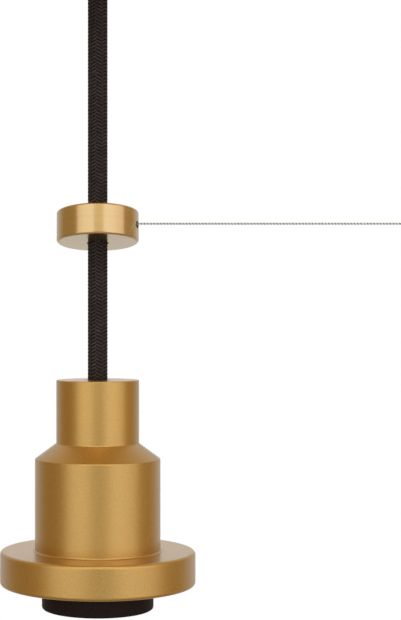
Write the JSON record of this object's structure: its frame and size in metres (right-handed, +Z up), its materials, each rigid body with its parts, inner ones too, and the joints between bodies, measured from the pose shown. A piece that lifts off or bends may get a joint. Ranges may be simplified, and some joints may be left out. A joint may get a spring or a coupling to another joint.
{
  "type": "pendant light with sliding cord adjuster",
  "caption": "Turned metal pendant lampholder on a textile cord, with a disc that slides on the cord and a guy wire that sets where and how high the lamp hangs.",
  "frame": {"origin": "centre of the ceiling bracket's upper face, where the pendant meets the ceiling", "axes": "+Z up into the ceiling along the hanging cord, +X towards the guy wire's eye, -Y towards the picture's camera"},
  "size_m": [0.1742, 0.09, 0.2617],
  "materials": {
    "anodised_gold": "satin gold anodised, finely turned",
    "black_thermoset": "satin moulded",
    "braided_textile": "braided",
    "steel": "zinc plated",
    "steel_wire": "twisted bright wire",
    "brass": "drawn",
    "white_nylon": "moulded",
    "white_ceramic": "pressed steatite",
    "brown_core": "extruded insulation",
    "blue_core": "extruded insulation",
    "green_core": "extruded insulation"
  },
  "bodies": {
    "ceiling_rose": {"ceiling_bracket": "steel", "canopy": "anodised_gold", "canopy_screws": "anodised_gold", "earth_screw": "brass", "rose_earth_tag": "brass", "cord_outlet": "anodised_gold", "outlet_washer": "steel", "outlet_locknut": "steel", "outlet_clamp_screw": "steel", "cord_tail": "braided_textile", "rose_live_core": "brown_core", "rose_neutral_core": "blue_core", "rose_earth_core": "green_core", "terminal_block": "white_nylon", "terminal_inserts": "brass", "terminal_screws": "steel"},
    "pendant": {"textile_cord": "braided_textile", "holder_cup": "anodised_gold", "cord_grip": "brass", "cord_grip_screw": "steel", "lampholder_cap": "black_thermoset", "lampholder_skirt": "black_thermoset", "contact_carrier": "white_ceramic", "screw_shell": "brass", "live_terminal": "brass", "neutral_terminal": "brass", "contact_screws": "steel", "live_core": "brown_core", "neutral_core": "blue_core", "earth_core": "green_core", "earth_tag": "brass", "earth_tag_screw": "steel"},
    "contact_tongue": {"centre_contact": "brass"},
    "flange_washer": {"slip_washer": "steel"},
    "flange": {"clamp_flange": "anodised_gold"},
    "bush": {"cord_bush": "white_nylon"},
    "adjuster": {"adjuster_body": "anodised_gold", "bush_retaining_ring": "anodised_gold", "wire_nozzle": "steel", "wire_stop": "steel", "wire_rope": "steel_wire", "wire_eye": "steel"},
    "pad": {"clamp_pad": "brass"},
    "screw": {"lock_screw": "steel"}
  },
  "joints": [
    {"name": "pendant_swing", "type": "hinge", "parent": "ceiling_rose", "child": "pendant", "pos_m": [0, 0, -0.036], "axis": [0, 1, 0], "range_deg": [-15, 15]},
    {"name": "contact_press", "type": "hinge", "parent": "pendant", "child": "contact_tongue", "pos_m": [0.0053, 0, -0.22945], "axis": [0, 1, 0], "range_deg": [0, 12], "stiffness_Nm_per_rad": 0.15},
    {"name": "washer_travel", "type": "slide", "parent": "pendant", "child": "flange_washer", "axis": [0, 0, -1], "range_m": [0, 0.00451]},
    {"name": "flange_turn", "type": "hinge", "parent": "flange_washer", "child": "flange", "pos_m": [0, 0, -0.2474], "axis": [0, 0, -1], "range_deg": [0, 1080]},
    {"name": "adjuster_slide", "type": "slide", "parent": "pendant", "child": "bush", "axis": [0, 0, 1], "range_m": [-0.046, 0.075]},
    {"name": "adjuster_swivel", "type": "hinge", "parent": "bush", "child": "adjuster", "pos_m": [0, 0, -0.1253], "axis": [0, 0, 1], "continuous": true},
    {"name": "pad_travel", "type": "slide", "parent": "adjuster", "child": "pad", "axis": [0, 0.9848, -0.1736], "range_m": [0, 0.00105]},
    {"name": "lock_turn", "type": "hinge", "parent": "pad", "child": "screw", "pos_m": [0, 0, -0.1253], "axis": [0, 0.9848, -0.1736], "range_deg": [0, 540]}
  ],
  "couplings": [
    {"joint": "washer_travel", "follows": "flange_turn", "m_per_rad": 0.00023873},
    {"joint": "lock_turn", "follows": "pad_travel", "rad_per_m": 8975.9}
  ]
}
